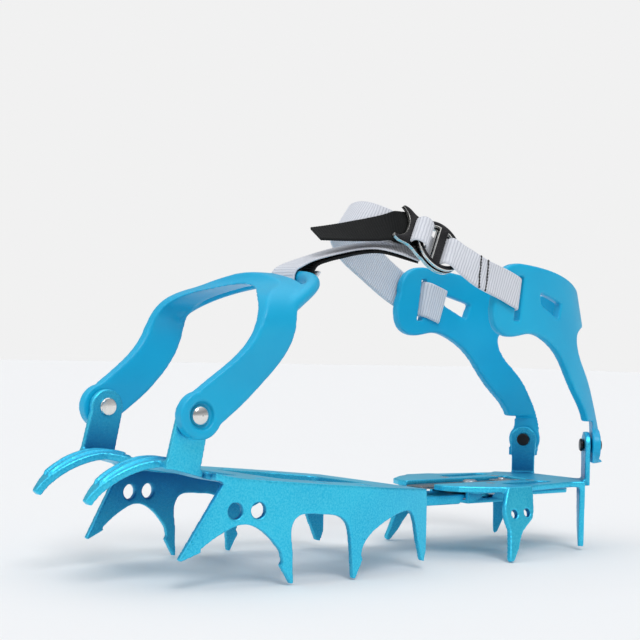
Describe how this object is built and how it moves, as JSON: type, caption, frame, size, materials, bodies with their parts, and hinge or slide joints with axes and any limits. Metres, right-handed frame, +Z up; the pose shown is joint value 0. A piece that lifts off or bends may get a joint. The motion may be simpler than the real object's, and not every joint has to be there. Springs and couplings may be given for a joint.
{
  "type": "strap-on crampon",
  "caption": "Crampon for a hiking boot: pointed metal toe and heel frames on a sliding link bar, with moulded toe bail, heel cradle, webbing and ring buckle.",
  "frame": {"origin": "centre of the middle cross bar of the front frame, on its top face where the boot sole rests", "axes": "+X across the foot towards the buckle side, +Y from toe to heel, +Z up from the ground plane through the point tips"},
  "size_m": [0.1026, 0.314, 0.177],
  "materials": {
    "anodised_blue": "blue anodised, fine bead-blasted grain",
    "plastic_blue": "satin moulded",
    "rivet_polished": "polished",
    "pin_steel": "brushed",
    "spring_steel": "brushed",
    "ring_steel": "dark plated, bright edges",
    "rivet_black": "satin black",
    "washer_black": "satin",
    "webbing_white": "ribbed webbing",
    "webbing_black": "ribbed webbing"
  },
  "bodies": {
    "front_section": {"front_frame": "anodised_blue", "toe_rivets": "rivet_polished", "toe_washers": "washer_black", "hinge_pin": "pin_steel"},
    "toe_bail": {"toe_bail": "plastic_blue"},
    "toe_webbing": {"toe_strap": "webbing_white", "toe_strap_return": "webbing_black"},
    "link": {"link_bar": "anodised_blue"},
    "heel_section": {"heel_frame": "anodised_blue", "bar_keeper": "anodised_blue", "keeper_rivets": "pin_steel", "latch_clamp": "pin_steel", "clamp_rivets": "pin_steel"},
    "length_latch": {"latch_leaf": "spring_steel", "latch_stud": "pin_steel"},
    "heel_cradle": {"heel_cradle": "plastic_blue", "heel_rivets": "rivet_black", "heel_spacers": "washer_black", "instep_strap": "webbing_white"},
    "buckle": {"buckle_webbing": "webbing_white"},
    "inner_ring": {"ring_inner": "ring_steel"},
    "outer_ring": {"ring_outer": "ring_steel"},
    "webbing_tail": {"strap_tail": "webbing_black"}
  },
  "joints": [
    {"name": "toe_bail_swing", "type": "hinge", "parent": "front_section", "child": "toe_bail", "pos_m": [0, -0.0455, 0.029], "axis": [1, 0, 0], "range_deg": [0, 140]},
    {"name": "toe_webbing_drop", "type": "hinge", "parent": "toe_bail", "child": "toe_webbing", "pos_m": [0, 0.0322, 0.0915], "axis": [1, 0, 0], "range_deg": [-40, 0]},
    {"name": "link_flex", "type": "hinge", "parent": "front_section", "child": "link", "pos_m": [0, 0.0925, -0.0143], "axis": [1, 0, 0], "range_deg": [-10, 4]},
    {"name": "heel_length", "type": "slide", "parent": "link", "child": "heel_section", "axis": [0, 1, 0], "range_m": [0, 0.048]},
    {"name": "latch_lift", "type": "hinge", "parent": "heel_section", "child": "length_latch", "pos_m": [0, 0.173, -0.01104], "axis": [-1, 0, 0], "range_deg": [0, 8]},
    {"name": "heel_cradle_tilt", "type": "hinge", "parent": "heel_section", "child": "heel_cradle", "pos_m": [0, 0.21396, 0.0097], "axis": [-1, 0, 0], "range_deg": [0, 6]},
    {"name": "buckle_swing", "type": "hinge", "parent": "heel_cradle", "child": "buckle", "pos_m": [0.04045, 0.1434, 0.0873], "axis": [0, 0.1611, 0.9869], "range_deg": [0, 28]},
    {"name": "inner_ring_rock", "type": "hinge", "parent": "buckle", "child": "inner_ring", "pos_m": [0.03075, 0.0973, 0.1087], "axis": [-0.3552, 0.5834, 0.7304], "range_deg": [-3, 3]},
    {"name": "outer_ring_rock", "type": "hinge", "parent": "buckle", "child": "outer_ring", "pos_m": [0.03075, 0.0973, 0.1087], "axis": [-0.3552, 0.5834, 0.7304], "range_deg": [-3, 3]},
    {"name": "tail_pull", "type": "slide", "parent": "inner_ring", "child": "webbing_tail", "axis": [-0.3603, -0.9207, -0.1501], "range_m": [0, 0.015]}
  ]
}
